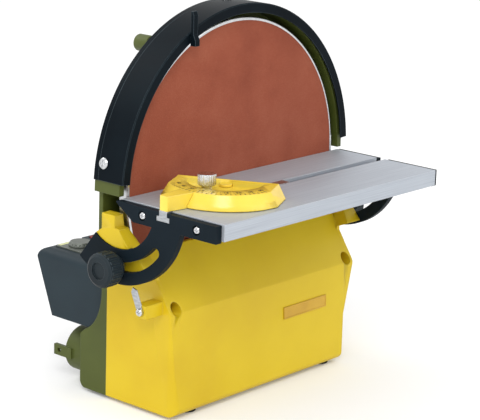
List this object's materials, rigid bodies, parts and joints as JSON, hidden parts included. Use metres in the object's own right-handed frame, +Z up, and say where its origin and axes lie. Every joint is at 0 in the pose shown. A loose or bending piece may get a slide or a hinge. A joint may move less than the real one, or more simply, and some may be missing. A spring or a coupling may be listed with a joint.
{
  "type": "benchtop disc sander",
  "caption": "Benchtop disc sander with a large round sanding disc in a guard, a tilting aluminium table with a mitre gauge, a yellow foot housing and a belt drive behind.",
  "frame": {"origin": "on the bench plane, under the middle of the whole machine's box", "axes": "+X to the right along the table, +Y from the operator towards the machine's back, +Z up"},
  "size_m": [0.3152, 0.223, 0.3187],
  "materials": {
    "yellow_housing": "moulded yellow plastic, satin",
    "olive_housing": "moulded olive plastic, satin",
    "black_plastic": "moulded blue-black plastic",
    "panel_plate": "brushed control panel",
    "switch_red": "glossy red rocker",
    "board": "green circuit board",
    "steel": "machined steel",
    "rubber": "black rubber",
    "cast_alloy": "turned aluminium",
    "abrasive": "red-brown aluminium oxide paper",
    "guard_black": "blue-black powder coat",
    "screw_chrome": "bright plated steel",
    "amber_plate": "bare amber plate",
    "knob_black": "ribbed black plastic",
    "table_alloy": "milled aluminium",
    "plate_black": "moulded blue-black plastic",
    "gauge_yellow": "moulded bright yellow plastic",
    "knob_chrome": "fluted chrome knob"
  },
  "bodies": {
    "frame": {"front_housing": "yellow_housing", "rear_housing": "olive_housing", "belt_cover": "olive_housing", "motor_cover": "black_plastic", "control_panel": "panel_plate", "switch_body": "black_plastic", "circuit_board": "board", "motor_can": "steel", "drive_belt": "rubber", "front_bearing": "steel", "rear_bearing": "steel", "guard_band": "guard_black", "guard_clip": "guard_black", "guard_screws": "screw_chrome", "brake_spring": "steel", "dust_spigot": "olive_housing", "housing_screws": "screw_chrome", "cover_screws": "screw_chrome", "rubber_feet": "rubber", "name_plate": "amber_plate", "tilt_pointer": "steel", "pointer_screw": "screw_chrome", "tilt_studs": "steel", "tilt_washers": "screw_chrome"},
    "disc": {"disc_plate": "cast_alloy", "abrasive_disc": "abrasive", "disc_shaft": "steel", "disc_pulley": "black_plastic", "hub_screw": "steel"},
    "motor_rotor": {"motor_shaft": "steel", "motor_pulley": "steel"},
    "table": {"table_top": "table_alloy", "left_end_plate": "plate_black", "right_end_plate": "plate_black", "end_plate_screws": "screw_chrome"},
    "gauge_slide": {"mitre_bar": "steel", "mitre_pointer": "gauge_yellow", "mitre_studs": "steel"},
    "gauge_head": {"mitre_head": "gauge_yellow"},
    "gauge_clamp": {"mitre_knob": "knob_chrome"},
    "left_knob": {"tilt_knob_left": "knob_black"},
    "right_knob": {"tilt_knob_right": "knob_black"},
    "brake": {"brake_plunger": "olive_housing", "brake_pad": "rubber"},
    "rocker": {"switch_rocker": "switch_red"},
    "dial": {"speed_dial": "black_plastic"}
  },
  "joints": [
    {"name": "disc_spin", "type": "hinge", "parent": "frame", "child": "disc", "pos_m": [0, 0, 0.179], "axis": [0, 1, 0], "continuous": true},
    {"name": "motor_spin", "type": "hinge", "parent": "frame", "child": "motor_rotor", "pos_m": [-0.03, 0.046, 0.082], "axis": [0, 1, 0], "continuous": true},
    {"name": "table_tilt", "type": "hinge", "parent": "frame", "child": "table", "pos_m": [0, -0.0065, 0.177], "axis": [1, 0, 0], "range_deg": [-10, 50]},
    {"name": "gauge_travel", "type": "slide", "parent": "table", "child": "gauge_slide", "axis": [1, 0, 0], "range_m": [-0.02, 0.115]},
    {"name": "gauge_turn", "type": "hinge", "parent": "gauge_slide", "child": "gauge_head", "pos_m": [-0.067, -0.054, 0.183], "axis": [0, 0, 1], "range_deg": [-27, 18]},
    {"name": "gauge_clamp_turn", "type": "hinge", "parent": "gauge_slide", "child": "gauge_clamp", "pos_m": [-0.089, -0.054, 0.192], "axis": [0, 0, 1], "range_deg": [0, 360]},
    {"name": "left_knob_turn", "type": "hinge", "parent": "frame", "child": "left_knob", "pos_m": [-0.148, -0.0065, 0.124], "axis": [-1, 0, 0], "range_deg": [0, 360]},
    {"name": "right_knob_turn", "type": "hinge", "parent": "frame", "child": "right_knob", "pos_m": [0.148, -0.0065, 0.124], "axis": [1, 0, 0], "range_deg": [0, 360]},
    {"name": "brake_push", "type": "slide", "parent": "frame", "child": "brake", "axis": [0, -1, 0], "range_m": [0, 0.0035], "stiffness_N_per_m": 600, "springref_m": -0.002, "deforming": ["brake_spring"]},
    {"name": "power_switch", "type": "hinge", "parent": "frame", "child": "rocker", "pos_m": [-0.062, 0.0875, 0.1096], "axis": [1, 0, 0], "range_deg": [-20, 0]},
    {"name": "speed_dial_turn", "type": "hinge", "parent": "frame", "child": "dial", "pos_m": [-0.086, 0.0875, 0.112], "axis": [0, 0, -1], "range_deg": [0, 270]}
  ],
  "couplings": [
    {"joint": "motor_spin", "follows": "disc_spin", "ratio": 6}
  ]
}
